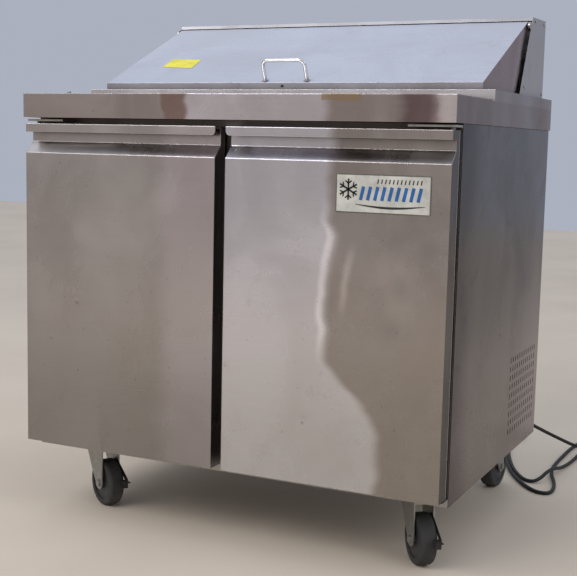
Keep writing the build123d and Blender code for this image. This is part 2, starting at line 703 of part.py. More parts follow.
def make_pedal(caster, name):
    """Arm between tyre and fork leg, with a block in front of the tyre and a thin foot plate."""
    with BuildPart() as pedal:
        with BuildSketch(wheel_side(caster, PEDAL_ARM_OUT)):
            Polygon([(34, 90), (34, 101), (44, 101), (94, 67), (94, 48), (88, 48), (88, 60), (44, 88)])
            with Locations((PEDAL_PIVOT_U, PEDAL_PIVOT_Z)):
                Circle(PEDAL_PIN_R + RUNNING, mode=Mode.SUBTRACT)
        extrude(amount=PEDAL_ARM_T)
        with BuildSketch(wheel_side(caster, PEDAL_ARM_OUT)):
            Polygon([(88, 48), (94, 48), (94, 66), (88, 66)])
        extrude(amount=PEDAL_ARM_OUT - 5)
        with BuildSketch(wheel_side(caster, 15)):
            Polygon([(90, 64), (112, 64), (112, 66), (90, 66)])
        extrude(amount=12)
    save(pedal, f"{name}_brake_pedal")


for caster_name, caster_place in CASTERS.items():
    braked = caster_name.startswith("front")
    make_fork(caster_place, caster_name, braked)
    make_wheel(caster_place, caster_name)
    if braked:
        make_pedal(caster_place, caster_name)

# ---------------------------------------------------------------- refrigeration
COMPRESSOR_X = -240.0
COMPRESSOR_Y = FRONT + 585.0
with BuildPart() as compressor:
    feet_z = CABINET_BOTTOM_Z + 2.5
    block(
        (COMPRESSOR_X - 85, COMPRESSOR_X + 85),
        (COMPRESSOR_Y - 60, COMPRESSOR_Y + 60),
        (feet_z + 10, feet_z + 13),
    )
    for foot_x in (-75, 75):
        for foot_y in (-48, 48):
            rod_z((feet_z, feet_z + 10), COMPRESSOR_X + foot_x, COMPRESSOR_Y + foot_y, 9)
    rod_z((feet_z + 13, feet_z + 160), COMPRESSOR_X, COMPRESSOR_Y, 72)
    rim = compressor.edges().filter_by(GeomType.CIRCLE).sort_by(Axis.Z)[-1]
    fillet(rim, radius=30)
    block(
        (COMPRESSOR_X + 60, COMPRESSOR_X + 95), (COMPRESSOR_Y - 25, COMPRESSOR_Y + 25), (220, 270)
    )
save(compressor, "compressor")


def finned_coil(name, x_span, y_span, z_span, fin_count, tube_x, tube_z):
    """A stack of fins along Y on straight tubes."""
    pitch = (y_span[1] - y_span[0] - 1) / (fin_count - 1)
    with BuildPart() as coil:
        for index in range(fin_count):
            fin_y = y_span[0] + index * pitch
            block(x_span, (fin_y, fin_y + 1), z_span)
        for place_x in tube_x:
            for place_z in tube_z:
                rod_y((y_span[0] - 3, y_span[1] + 3), place_x, place_z, 4)
    save(coil, name)


finned_coil(
    "condenser_coil",
    (304, 344),
    (FRONT + 492, FRONT + 668),
    (165, 335),
    20,
    (314, 334),
    (190, 230, 270, 310),
)
finned_coil(
    "evaporator_coil", (0, 160), (FRONT + 578, FRONT + 630), (418, 500), 9, (40, 120), (440, 478)
)

with BuildPart() as condenser_shroud:
    block((288, 303.8), (FAN_Y - 95, FAN_Y + 95), (160, 340))
    rod_x((280, 310), FAN_Y, FAN_Z, 80, Mode.SUBTRACT)
    block((212, 215), (FAN_Y - 91, FAN_Y + 91), (FAN_Z - 15, FAN_Z + 15))
    for leg in (-1, 1):
        leg_y = sorted((FAN_Y + leg * 88, FAN_Y + leg * 91))
        block((212, 290), leg_y, (FAN_Z - 15, FAN_Z + 15))
    rod_x((215, 256), FAN_Y, FAN_Z, 32)
    rod_x((256, 272), FAN_Y, FAN_Z, 4)
    block((288, 303.8), (FAN_Y - 95, FAN_Y - 70), (CABINET_BOTTOM_Z + 2.5, 165))
    block((288, 303.8), (FAN_Y + 70, FAN_Y + 95), (CABINET_BOTTOM_Z + 2.5, 165))
save(condenser_shroud, "condenser_shroud")


BLADE_PITCH = radians(24)


def fan_blades(hub_plane, hub_r, hub_t, tip_r, blade_count):
    """Pitched blades round a hub, in the current part; the plane's z is the shaft."""
    with BuildSketch(hub_plane) as hub:
        Circle(hub_r)
    extrude(hub.sketch, amount=hub_t)
    for index in range(blade_count):
        turn = radians(360 / blade_count * index)
        outward = hub_plane.x_dir * cos(turn) + hub_plane.y_dir * sin(turn)
        sideways = hub_plane.y_dir * cos(turn) - hub_plane.x_dir * sin(turn)
        facing = hub_plane.z_dir * cos(BLADE_PITCH) + sideways * sin(BLADE_PITCH)
        middle = hub_plane.origin + hub_plane.z_dir * (hub_t / 2)
        pitched = Plane(origin=middle, x_dir=outward, z_dir=facing)
        with BuildSketch(pitched.offset(-0.8)) as blade:
            Polygon(
                [
                    (hub_r * 0.75, -hub_t * 0.4),
                    (tip_r * 0.94, -tip_r * 0.2),
                    (tip_r * 0.97, tip_r * 0.16),
                    (hub_r * 0.75, hub_t * 0.4),
                ]
            )
        extrude(blade.sketch, amount=1.6)


with BuildPart() as condenser_fan:
    fan_plane = Plane(origin=(262, FAN_Y, FAN_Z), x_dir=(0, 1, 0), z_dir=(1, 0, 0))
    fan_blades(fan_plane, 18, 14, 72, 5)
    rod_x((261, 272.5), FAN_Y, FAN_Z, 4 + RUNNING, Mode.SUBTRACT)
save(condenser_fan, "condenser_fan")

line_r = 4.0
with BuildPart() as refrigerant_lines:
    routes = [
        [
            (COMPRESSOR_X + 25, COMPRESSOR_Y, feet_z + 160),
            (COMPRESSOR_X + 25, COMPRESSOR_Y, 330),
            (200, COMPRESSOR_Y, 330),
            (200, FRONT + 684, 330),
            (334, FRONT + 684, 330),
            (334, FRONT + 684, 310),
        ],
        [
            (COMPRESSOR_X - 25, COMPRESSOR_Y, feet_z + 160),
            (COMPRESSOR_X - 25, COMPRESSOR_Y, 325),
            (COMPRESSOR_X - 25, FRONT + 680, 325),
            (COMPRESSOR_X - 25, FRONT + 680, MACHINE_TOP_Z - 0.2),
        ],
    ]
    for route in routes:
        with BuildLine():
            line = FilletPolyline(*route, radius=9)
        with BuildSketch(Plane(origin=line @ 0, z_dir=line % 0)):
            Circle(line_r)
        sweep(path=line)
save(refrigerant_lines, "refrigerant_lines")

cover_back = LINER_BACK - SHEET
with BuildPart() as evaporator_cover:
    block((-190, 190), (EVAPORATOR_FRONT, cover_back), (405, 560))
    block((-188.5, 188.5), (EVAPORATOR_FRONT + 1.5, cover_back + 1), (406.5, 558.5), Mode.SUBTRACT)
    rod_y((EVAPORATOR_FRONT - 1, EVAPORATOR_FRONT + 3), EVAPORATOR_FAN_X, EVAPORATOR_Z, 54, Mode.SUBTRACT)
    with BuildSketch(Plane(origin=(80, EVAPORATOR_FRONT, 455), x_dir=(1, 0, 0), z_dir=(0, -1, 0))):
        with GridLocations(0, 14, 1, 5):
            SlotOverall(130, 6)
    extrude(amount=-3, mode=Mode.SUBTRACT)
    block(
        (SWITCH_X - 7, SWITCH_X + 7),
        (EVAPORATOR_FRONT - 1, EVAPORATOR_FRONT + 3),
        (CONTROL_Z - 12.5, CONTROL_Z + 12.5),
        Mode.SUBTRACT,
    )
    block((EVAPORATOR_FAN_X - 8, EVAPORATOR_FAN_X + 8), (FRONT + 600, FRONT + 603), (406, 559))
    rod_y((FRONT + 572, FRONT + 601), EVAPORATOR_FAN_X, EVAPORATOR_Z, 20)
    rod_y((FRONT + 561, FRONT + 573), EVAPORATOR_FAN_X, EVAPORATOR_Z, 3)
    rod_y((EVAPORATOR_FRONT - 8, EVAPORATOR_FRONT + 1), KNOB_X, CONTROL_Z, 3)
save(evaporator_cover, "evaporator_cover")

with BuildPart() as evaporator_fan:
    small_plane = Plane(
        origin=(EVAPORATOR_FAN_X, FRONT + 557, EVAPORATOR_Z), x_dir=(1, 0, 0), z_dir=(0, 1, 0)
    )
    fan_blades(small_plane, 12, 12, 48, 5)
    rod_y((FRONT + 560, FRONT + 570), EVAPORATOR_FAN_X, EVAPORATOR_Z, 3 + RUNNING, Mode.SUBTRACT)
save(evaporator_fan, "evaporator_fan")

with BuildPart() as thermostat_knob:
    knob_y = EVAPORATOR_FRONT - 16
    rod_y((knob_y, EVAPORATOR_FRONT - 0.5), KNOB_X, CONTROL_Z, 15)
    block((KNOB_X - 3, KNOB_X + 3), (knob_y - 6, knob_y + 1), (CONTROL_Z - 14, CONTROL_Z + 14))
    rod_y(
        (EVAPORATOR_FRONT - 9, EVAPORATOR_FRONT), KNOB_X, CONTROL_Z, 3 + RUNNING, Mode.SUBTRACT
    )
save(thermostat_knob, "thermostat_knob")

with BuildPart() as power_switch:
    block(
        (SWITCH_X - 6.5, SWITCH_X + 6.5),
        (EVAPORATOR_FRONT - 5, EVAPORATOR_FRONT + 7),
        (CONTROL_Z - 11.5, CONTROL_Z + 11.5),
    )
save(power_switch, "power_switch")

# ---------------------------------------------------------------- shelves
SHELF_Z = 620.0
shelf_y = (FRONT + 78, FRONT + 612)
with BuildPart() as wire_shelves:
    for side in (-1, 1):
        shelf_x = sorted((side * 12, side * 404))
        for edge_y in shelf_y:
            rod_x(shelf_x, edge_y, SHELF_Z, 3.5)
        for edge_x in shelf_x:
            rod_y((shelf_y[0] - 3.5, shelf_y[1] + 3.5), edge_x, SHELF_Z, 3.5)
        for index in range(1, 14):
            wire_x = shelf_x[0] + (shelf_x[1] - shelf_x[0]) * index / 14
            rod_y(shelf_y, wire_x, SHELF_Z + 3, 2)
save(wire_shelves, "wire_shelves")

with BuildPart() as shelf_clips:
    clip_top = SHELF_Z - 3.6
    for side in (-1, 1):
        wall_x = sorted((side * 396, side * (LINER_HALF - SHEET)))
        for clip_y in (FRONT + 120, FRONT + 560):
            block(wall_x, (clip_y, clip_y + 16), (clip_top - 4, clip_top))
        post_x = sorted((side * 6, side * 24))
        block(post_x, (frame_y[1], FRONT + 84), (clip_top - 4, clip_top))
        block(post_x, (FRONT + 606, cover_back), (clip_top - 4, clip_top))
save(shelf_clips, "shelf_clips")

# ---------------------------------------------------------------- power cord
with BuildPart() as cord_gland:
    rod_y((CABINET_BACK - 6, CABINET_BACK + 1), GLAND_X, GLAND_Z, 9.0)
    rod_y((CABINET_BACK, CABINET_BACK + 4), GLAND_X, GLAND_Z, 12)
    tip = Plane(origin=(GLAND_X, CORD_START_Y, GLAND_Z), x_dir=(1, 0, 0), z_dir=(0, 1, 0))
    with BuildSketch(tip.offset(4 - GLAND_LENGTH)):
        Circle(8.5)
    with BuildSketch(tip):
        Circle(5.8)
    loft()
save(cord_gland, "cord_gland")

# Distances right of the middle, behind the front edge and above the floor
CORD_ROUTE = [
    (GLAND_X, 726, GLAND_Z),
    (400, 748, GLAND_Z),
    (409, 784, 148),
    (431, 820, 124),
    (440, 860, 107),
    (446, 900, 91),
    (475, 950, 64),
    (504, 1000, 38),
    (530, 1060, 27),
    (565, 1120, 10),
    (590, 1170, CORD_LIE_Z),
    (590, 1220, CORD_LIE_Z),
    (550, 1250, CORD_LIE_Z),
    (500, 1235, CORD_LIE_Z),
    (478, 1190, CORD_LIE_Z),
    (475, 1149, CORD_LIE_Z),
    (469, 1097, CORD_LIE_Z),
    (467, 1045, CORD_LIE_Z),
    (466, 946, CORD_LIE_Z),
    (468, 883, CORD_LIE_Z),
    (479, 828, CORD_LIE_Z),
    (500, 768, CORD_LIE_Z),
    (511, 711, CORD_LIE_Z),
    (509.5, 677, CORD_LIE_Z),
    (495, 668, CORD_LIE_Z),
    (472, 676, CORD_LIE_Z),
    (440, 712, CORD_LIE_Z),
    (409, 759, CORD_LIE_Z),
    (383, 810, CORD_LIE_Z),
    (361, 861, CORD_LIE_Z),
    (340, 921.5, CORD_LIE_Z),
    (326, 968, CORD_LIE_Z),
    (300, 1030, CORD_LIE_Z),
    (258, 1086, CORD_LIE_Z),
    (227, 1142, CORD_LIE_Z),
    (239, 1194, CORD_LIE_Z),
    (287, 1211, CORD_LIE_Z),
    (328, 1180, CORD_LIE_Z),
    (324, 1124, CORD_LIE_Z),
    (317, 1052, CORD_LIE_Z),
    (335, 970, CORD_LIE_Z),
    (358.2, 899.2, CORD_LIE_Z),
    (383.2, 833.6, CORD_LIE_Z),
    (411, 782, CORD_LIE_Z),
    (433.5, 751.5, CORD_LIE_Z),
    (454.5, 749, CORD_LIE_Z),
    (468, 769, 11),
    (476.5, 793, HUMP_Z),
    (486.5, 834, HUMP_Z),
    (489, 882, 9),
    (496.5, 955, CORD_LIE_Z),
    (500, 1015, CORD_LIE_Z),
    (506, 1064, PLUG_Z),
    (514, 1104, PLUG_Z),
]
cord_points = [(x, FRONT + y, z) for x, y, z in CORD_ROUTE]


def corner_radii(points):
    """The largest tangent arc that the two runs at each corner allow."""
    radii = []
    for before, here, after in zip(points, points[1:], points[2:]):
        run_in = Vector(*here) - Vector(*before)
        run_out = Vector(*after) - Vector(*here)
        half_turn = radians(run_in.get_angle(run_out)) / 2
        radii.append(0.45 * min(run_in.length, run_out.length) / tan(half_turn))
    return radii


cord_radii = corner_radii(cord_points)
with BuildPart() as power_cord:
    with BuildLine():
        cord_line = FilletPolyline(*cord_points, radius=cord_radii)
    with BuildSketch(Plane(origin=cord_line @ 0, z_dir=cord_line % 0)):
        Circle(CORD_R)
    sweep(path=cord_line)
save(power_cord, "power_cord")

plug_start = cord_line @ 1
plug_way = cord_line % 1
plug_up = Vector(0, 0, 1)


def plug_plane(along):
    """Plane across the plug, so many millimetres past the cord's end."""
    return Plane(origin=plug_start + plug_way * along, x_dir=plug_up, z_dir=plug_way)


with BuildPart() as power_plug:
    with BuildSketch(plug_plane(0)):
        Circle(6.2)
    with BuildSketch(plug_plane(18)):
        Circle(8.5)
    loft()
    with BuildSketch(plug_plane(16)):
        RectangleRounded(2 * PLUG_HALF_Z, 2 * PLUG_HALF_X, 8)
    extrude(amount=34)
    for place in ((3.5, 6.35), (3.5, -6.35)):
        with BuildSketch(plug_plane(50)):
            with Locations(place):
                Rectangle(6.3, 1.5)
        extrude(amount=18)
    with BuildSketch(plug_plane(50)):
        with Locations((-8, 0)):
            Circle(2.4)
    extrude(amount=20)
save(power_plug, "power_plug")

print("cord corner radii:", [round(value, 1) for value in cord_radii])
print("cord length:", round(cord_line.length, 1))
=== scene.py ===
"""Looks of the sandwich prep table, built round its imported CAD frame.

Metres, in the CAD's own frame: +Z up, +X right, +Y to the back, the doors facing -Y.
"""
from math import cos, pi, radians, sin

import bmesh
import bpy
from mathutils import Matrix, Vector


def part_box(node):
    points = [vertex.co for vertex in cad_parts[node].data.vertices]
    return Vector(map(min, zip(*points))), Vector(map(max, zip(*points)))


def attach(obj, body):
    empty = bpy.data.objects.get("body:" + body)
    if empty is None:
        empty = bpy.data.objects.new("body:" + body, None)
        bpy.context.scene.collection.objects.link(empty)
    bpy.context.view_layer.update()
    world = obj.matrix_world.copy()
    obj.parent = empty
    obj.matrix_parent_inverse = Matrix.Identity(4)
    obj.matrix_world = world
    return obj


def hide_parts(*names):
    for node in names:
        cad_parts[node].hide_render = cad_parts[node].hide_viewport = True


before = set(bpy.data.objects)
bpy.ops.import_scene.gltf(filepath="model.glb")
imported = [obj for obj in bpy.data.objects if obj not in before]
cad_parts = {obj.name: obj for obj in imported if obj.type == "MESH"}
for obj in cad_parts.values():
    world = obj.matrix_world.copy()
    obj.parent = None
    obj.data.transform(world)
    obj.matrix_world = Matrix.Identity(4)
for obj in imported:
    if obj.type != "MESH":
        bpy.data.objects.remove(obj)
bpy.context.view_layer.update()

MM = 0.001
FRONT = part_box("worktop")[0].y
LEDGE_Z = 0.885
DOOR_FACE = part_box("left_door_skin")[0].y


# ---------------------------------------------------------------- camera
# The eye stands to the right of the table, a little below its ledge, and looks slightly down.
CAMERA_PLACE = Vector((1.0587, FRONT - 1.9003, LEDGE_Z - 0.0896))
CAMERA_RIGHT = Vector((0.90087, 0.43353, 0.02223))
CAMERA_LOOK = Vector((-0.42765, 0.89511, -0.12607))
CAMERA_LENS = 71.13


def place_camera():
    look = CAMERA_LOOK.normalized()
    right = (CAMERA_RIGHT - look * CAMERA_RIGHT.dot(look)).normalized()
    up = right.cross(look)
    data = bpy.data.cameras.new("camera")
    data.lens = CAMERA_LENS
    data.sensor_width = 36
    camera = bpy.data.objects.new("camera", data)
    axes = Matrix((right, up, -look)).transposed()
    camera.matrix_world = Matrix.Translation(CAMERA_PLACE) @ axes.to_4x4()
    bpy.context.collection.objects.link(camera)
    bpy.context.scene.camera = camera


place_camera()


# ---------------------------------------------------------------- material helpers
class Shader:
    """A material's node tree with short calls for the nodes that the surfaces share."""

    def __init__(self, name):
        self.material = bpy.data.materials.new(name)
        self.material.use_nodes = True
        self.nodes = self.material.node_tree.nodes
        self.links = self.material.node_tree.links
        self.main = self.nodes["Principled BSDF"]

    def add(self, kind, **settings):
        node = self.nodes.new(kind)
        for key, value in settings.items():
            setattr(node, key, value)
        return node

    def join(self, source, target):
        self.links.new(source, target)

    def give(self, socket, value):
        """Sets a socket to a number or colour, or links another socket to it."""
        if isinstance(value, bpy.types.NodeSocket):
            self.links.new(value, socket)
        else:
            socket.default_value = value

    def place(self):
        """The row frame's position of a point, which moves with its body."""
        if not hasattr(self, "coordinates"):
            self.coordinates = self.add("ShaderNodeTexCoord").outputs["Object"]
        return self.coordinates

    def scaled(self, scale, shift=(0, 0, 0)):
        node = self.add("ShaderNodeMapping")
        self.join(self.place(), node.inputs["Vector"])
        node.inputs["Scale"].default_value = scale
        node.inputs["Location"].default_value = shift
        return node.outputs["Vector"]

    def noise(self, scale, detail=4.0, roughness=0.55, shift=(0, 0, 0), warp=0.0):
        """Noise with a separate frequency along X, Y and Z, in cycles per metre."""
        node = self.add("ShaderNodeTexNoise")
        self.join(self.scaled(scale, shift), node.inputs["Vector"])
        node.inputs["Scale"].default_value = 1.0
        node.inputs["Detail"].default_value = detail
        node.inputs["Roughness"].default_value = roughness
        node.inputs["Distortion"].default_value = warp
        return node.outputs["Fac"]

    def math(self, operation, a, b=0.0, c=None, clamp=False):
        node = self.add("ShaderNodeMath", operation=operation, use_clamp=clamp)
        self.give(node.inputs[0], a)
        self.give(node.inputs[1], b)
        if c is not None:
            self.give(node.inputs[2], c)
        return node.outputs[0]

    def ramp(self, factor, low, high, from_value=0.0, to_value=1.0):
        """Maps low..high smoothly onto from_value..to_value."""
        node = self.add("ShaderNodeMapRange", interpolation_type="SMOOTHSTEP")
        self.give(node.inputs["Value"], factor)
        self.give(node.inputs["From Min"], low)
        self.give(node.inputs["From Max"], high)
        self.give(node.inputs["To Min"], from_value)
        self.give(node.inputs["To Max"], to_value)
        return node.outputs["Result"]

    def mix(self, factor, a, b):
        node = self.add("ShaderNodeMix", data_type="RGBA")
        self.give(node.inputs["Factor"], factor)
        self.give(node.inputs["A"], a)
        self.give(node.inputs["B"], b)
        return node.outputs["Result"]

    def tinted(self, tone, factor_color, amount):
        """The tone multiplied by a colour, as far as amount says."""
        node = self.add("ShaderNodeMix", data_type="RGBA", blend_type="MULTIPLY", clamp_result=False)
        self.give(node.inputs["Factor"], amount)
        self.give(node.inputs["A"], tone)
        self.give(node.inputs["B"], factor_color)
        return node.outputs["Result"]

    def crevice_shade(self, reach=0.03):
        """0 in the open, 1 deep in a gap; the mask for painted shade in gaps."""
        node = self.add("ShaderNodeAmbientOcclusion", samples=4)
        node.inputs["Distance"].default_value = reach
        return self.ramp(node.outputs["AO"], 0.30, 0.85, 1.0, 0.0)

    def facing(self, name):
        """1 where the surface faces along this axis of its own body, either way; 0 elsewhere."""
        if not hasattr(self, "turned"):
            self.turned = self.add("ShaderNodeSeparateXYZ")
            self.join(self.add("ShaderNodeTexCoord").outputs["Normal"], self.turned.inputs[0])
        return self.ramp(self.math("ABSOLUTE", self.turned.outputs[name]), 0.6, 0.9)

    def between(self, value, low, high, soft):
        """1 between low and high, fading out over soft on both sides."""
        rise = self.ramp(value, low - soft, low + soft)
        return self.math("MULTIPLY", rise, self.ramp(value, high - soft, high + soft, 1.0, 0.0))

    def axis(self, name):
        """One of the row frame's coordinates: "X", "Y" or "Z"."""
        if not hasattr(self, "split"):
            self.split = self.add("ShaderNodeSeparateXYZ")
            self.join(self.place(), self.split.inputs[0])
        return self.split.outputs[name]

    def bump(self, height, distance, strength=1.0, below=None):
        node = self.add("ShaderNodeBump")
        self.give(node.inputs["Height"], height)
        node.inputs["Distance"].default_value = distance
        node.inputs["Strength"].default_value = strength
        if below is not None:
            self.join(below, node.inputs["Normal"])
        return node.outputs["Normal"]

    def rounded(self, radius):
        """A normal that rounds sharp edges by this radius."""
        node = self.add("ShaderNodeBevel", samples=6)
        node.inputs["Radius"].default_value = radius
        return node.outputs["Normal"]

    def finish(self, color, metallic, roughness, normal=None, anisotropic=0.0):
        self.give(self.main.inputs["Base Color"], color)
        self.give(self.main.inputs["Metallic"], metallic)
        self.give(self.main.inputs["Roughness"], roughness)
        if normal is not None:
            self.join(normal, self.main.inputs["Normal"])
        if anisotropic:
            self.main.inputs["Anisotropic"].default_value = anisotropic
            tangent = self.add("ShaderNodeTangent", direction_type="RADIAL", axis="Z")
            self.join(tangent.outputs[0], self.main.inputs["Tangent"])
        return self.material


def rgba(red, green, blue):
    return (red, green, blue, 1.0)


def steel(
    name, color, roughness=0.3, grain=(6, 6, 900), wave=0.0, wave_scale=(3, 3, 3), dents=(), dirt=0.25,
    anisotropic=0.5, stain=rgba(0.20, 0.16, 0.12), tones=None, edge=0.0009,
):
    """Brushed stainless steel. The grain's lowest frequency is along the brushing; tones, if
    given, is a function that adds this sheet's painted reflections, highlights and shade, with a few
    real marks."""
    s = Shader(name)
    fine = s.noise(grain, detail=3, roughness=0.6)
    smudge = s.noise((5, 5, 4), detail=5, roughness=0.6, warp=0.6)
    grime = s.noise((16, 16, 13), detail=6, roughness=0.7, shift=(3, 1, 7), warp=0.4)
    tone = tones(s, color) if tones else color
    tone = s.tinted(tone, rgba(0.86, 0.85, 0.84), s.ramp(smudge, 0.7, 0.3))
    tone = s.tinted(tone, rgba(0.75, 0.74, 0.73), s.ramp(fine, 0.35, 0.75, 0.0, 0.16))
    tone = s.mix(s.math("MULTIPLY", s.ramp(grime, 0.58, 0.78), dirt), tone, stain)
    speck = s.ramp(s.noise((170, 170, 170), detail=1, shift=(2, 8, 5)), 0.76, 0.80)
    tone = s.tinted(tone, rgba(0.45, 0.42, 0.40), s.math("MULTIPLY", speck, 0.8))
    # Painted shade: the steel is darker in gaps and hollows, where shade falls.
    tone = s.tinted(tone, rgba(0.20, 0.18, 0.17), s.crevice_shade())
    shine = s.ramp(smudge, 0.25, 0.75, roughness - 0.05, roughness + 0.08)
    shine = s.math("ADD", shine, s.ramp(grime, 0.55, 0.8, 0.0, 0.12))
    normal = s.rounded(edge)
    if wave:
        swell = s.noise(wave_scale, detail=1.5, roughness=0.4, shift=(5, 2, 9))
        normal = s.bump(swell, wave, below=normal)
    if dents:
        normal = s.bump(dent_field(s, dents), 1.0, below=normal)
    normal = s.bump(fine, 0.00002, 0.35, below=normal)
    return s.finish(tone, 1.0, shine, normal, anisotropic)


def dent_field(s, dents):
    """Sum of soft pits. Each is its x and z in the row frame, half width, half height and depth."""
    total = None
    for x, z, half_x, half_z, depth in dents:
        across = s.math("DIVIDE", s.math("SUBTRACT", s.axis("X"), x), half_x)
        along = s.math("DIVIDE", s.math("SUBTRACT", s.axis("Z"), z), half_z)
        square = s.math("ADD", s.math("MULTIPLY", across, across), s.math("MULTIPLY", along, along))
        pit = s.math("MULTIPLY", s.math("EXPONENT", s.math("MULTIPLY", square, -1.0)), -depth)
        total = pit if total is None else s.math("ADD", total, pit)
    return total


def plain(
    name, color, metallic=0.0, roughness=0.6, speckle=60.0, bump=0.0002, edge=0.0006, dust=0.35
):
    """Paint, plastic or rubber with a little mottling and softened edges."""
    s = Shader(name)
    mottle = s.noise((speckle, speckle, speckle), detail=5, roughness=0.65)
    wide = s.noise((9, 9, 9), detail=3, shift=(2, 4, 1))
    tone = s.mix(s.ramp(mottle, 0.3, 0.7), [c * 0.72 for c in color[:3]] + [1.0], color)
    tone = s.mix(s.ramp(wide, 0.45, 0.75, 0.0, dust), tone, rgba(0.32, 0.29, 0.25))
    shine = s.ramp(mottle, 0.2, 0.8, roughness - 0.08, roughness + 0.1)
    normal = s.bump(mottle, bump, 0.6, below=s.rounded(edge))
    return s.finish(tone, metallic, shine, normal)


def dress(material, *nodes):
    """Gives CAD nodes a material."""
    for node in nodes:
        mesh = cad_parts[node].data
        mesh.materials.clear()
        mesh.materials.append(material)


def piece_from(mesh_builder, name, material, body, replaced=(), smooth=True):
    """Links a bmesh as a named piece, with its material and body."""
    mesh = bpy.data.meshes.new(name)
    mesh_builder.to_mesh(mesh)
    mesh_builder.free()
    if smooth:
        mesh.shade_smooth()
    mesh.materials.append(material)
    piece = bpy.data.objects.new(name, mesh)
    bpy.context.collection.objects.link(piece)
    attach(piece, body)
    if replaced:
        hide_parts(*replaced)
    return piece


# ---------------------------------------------------------------- materials
def left_door_tones(s, color):
    waver = s.math("MULTIPLY", s.noise((2, 2, 7), detail=2), 0.05)
    across = s.math("ADD", s.axis("X"), waver)
    # Painted reflection: the part right of about X -0.1 is lighter.
    tone = s.tinted(color, rgba(1.22, 1.20, 1.26), s.ramp(across, -0.13, -0.07))
    # Painted shade: the door is darker towards the bottom.
    return s.tinted(tone, rgba(0.60, 0.61, 0.60), s.ramp(s.axis("Z"), 0.25, 0.62, 1.0, 0.0))


def right_door_tones(s, color):
    """Painted reflection: lighter and bluish on the left up to a wavering border with a bright painted
    highlight stripe, brown beyond.
    """
    height = s.axis("Z")
    ripple = s.noise((1, 1, 9), detail=2, shift=(0, 0, 3))
    waver = s.math("MULTIPLY", s.math("SUBTRACT", ripple, 0.5), 0.07)
    border = s.math("ADD", waver, s.ramp(height, 0.26, 0.42, 0.335, 0.232))
    past = s.math("SUBTRACT", s.axis("X"), border)
    tone = s.tinted(color, rgba(1.78, 1.92, 2.16), s.ramp(past, -0.016, 0.012, 1.0, 0.0))
    # Painted highlight: a bright stripe along the border.
    painted_highlight_stripe = s.math(
        "MULTIPLY", s.between(past, -0.018, -0.004, 0.006), s.between(height, 0.42, 0.66, 0.05)
    )
    tone = s.tinted(tone, rgba(1.35, 1.35, 1.36), painted_highlight_stripe)
    # Painted highlight: a small bright dab right of the border.
    painted_highlight_dab = s.math(
        "MULTIPLY", s.between(past, 0.028, 0.040, 0.007), s.between(height, 0.50, 0.60, 0.03)
    )
    tone = s.tinted(tone, rgba(1.55, 1.55, 1.60), s.math("MULTIPLY", painted_highlight_dab, 0.8))
    # Painted shade: the door is darker towards the bottom.
    tone = s.tinted(tone, rgba(0.76, 0.76, 0.72), s.ramp(height, 0.25, 0.62, 1.0, 0.0))
    # Painted shade: the faces along X, the door's edges, are much darker.
    return s.tinted(tone, rgba(0.20, 0.18, 0.17), s.facing("X"))


def band_tones(s, color):
    """Painted reflection areas on the worktop's front band, a painted highlight along its top edge, a
    strip of tape residue and painted shade on its ends.
    """
    across = s.math("ADD", s.axis("X"), s.math("MULTIPLY", s.noise((9, 9, 30), detail=3), 0.03))
    near_front = s.ramp(s.axis("Y"), FRONT + 0.01, FRONT + 0.02, 1.0, 0.0)
    front = s.math("MULTIPLY", s.facing("Y"), near_front)
    # Painted reflection: lighter and darker areas across the front face; the last is a painted
    # highlight near the right corner.
    reflection_areas = (
        (-0.50, -0.115, 0.010, rgba(0.76, 0.70, 0.68)),
        (-0.115, -0.060, 0.006, rgba(0.62, 0.46, 0.43)),
        (-0.060, 0.235, 0.012, rgba(1.28, 1.26, 1.36)),
        (0.235, 0.445, 0.016, rgba(0.78, 0.70, 0.69)),
        (0.375, 0.436, 0.016, rgba(0.52, 0.45, 0.46)),
        (0.440, 0.480, 0.003, rgba(1.25, 1.20, 1.20)),
    )
    tone = color
    for low, high, soft, factor in reflection_areas:
        tone = s.tinted(tone, factor, s.math("MULTIPLY", front, s.between(across, low, high, soft)))
    # Painted shade: the ends, facing X, are darker.
    ripple = s.ramp(s.noise((1, 8, 1), detail=2, shift=(0, 3, 0)), 0.30, 0.70, 0.80, 1.0)
    tone = s.tinted(tone, rgba(0.30, 0.22, 0.20), s.math("MULTIPLY", s.facing("X"), ripple))
    # Painted highlight along the band's top edge.
    top_edge_highlight = s.ramp(s.axis("Z"), LEDGE_Z - 0.003, LEDGE_Z - 0.001)
    tone = s.tinted(tone, rgba(1.25, 1.28, 1.34), top_edge_highlight)
    torn = s.math("MULTIPLY", s.noise((40, 9, 9), detail=3, shift=(1, 5, 2)), 0.008)
    height = s.math("ADD", s.axis("Z"), torn)
    tape = s.math(
        "MULTIPLY", s.between(s.axis("X"), 0.208, 0.285, 0.001), s.ramp(height, 0.876, 0.878)
    )
    shown = s.math("MULTIPLY", s.math("MULTIPLY", tape, front), 0.7)
    return s.mix(shown, tone, rgba(0.50, 0.36, 0.20))


def side_tones(s, color):
    """Painted shade and reflection: darker towards the top and the front edge, lighter towards the
    bottom and the back.
    """
    waver = s.math("MULTIPLY", s.noise((1, 7, 1), detail=3), 0.10)
    height = s.math("ADD", s.axis("Z"), waver)
    tone = s.tinted(color, rgba(2.30, 2.20, 2.05), s.ramp(height, 0.30, 0.60, 1.0, 0.0))
    drift = s.math("MULTIPLY", s.noise((1, 2, 6), detail=2, shift=(4, 0, 0)), 0.10)
    depth = s.math("ADD", s.axis("Y"), drift)
    near_front = s.ramp(depth, FRONT + 0.10, FRONT + 0.24, 1.0, 0.0)
    tone = s.tinted(tone, rgba(0.45, 0.43, 0.46), near_front)
    return s.tinted(tone, rgba(1.45, 1.45, 1.58), s.ramp(depth, FRONT + 0.50, FRONT + 0.74))


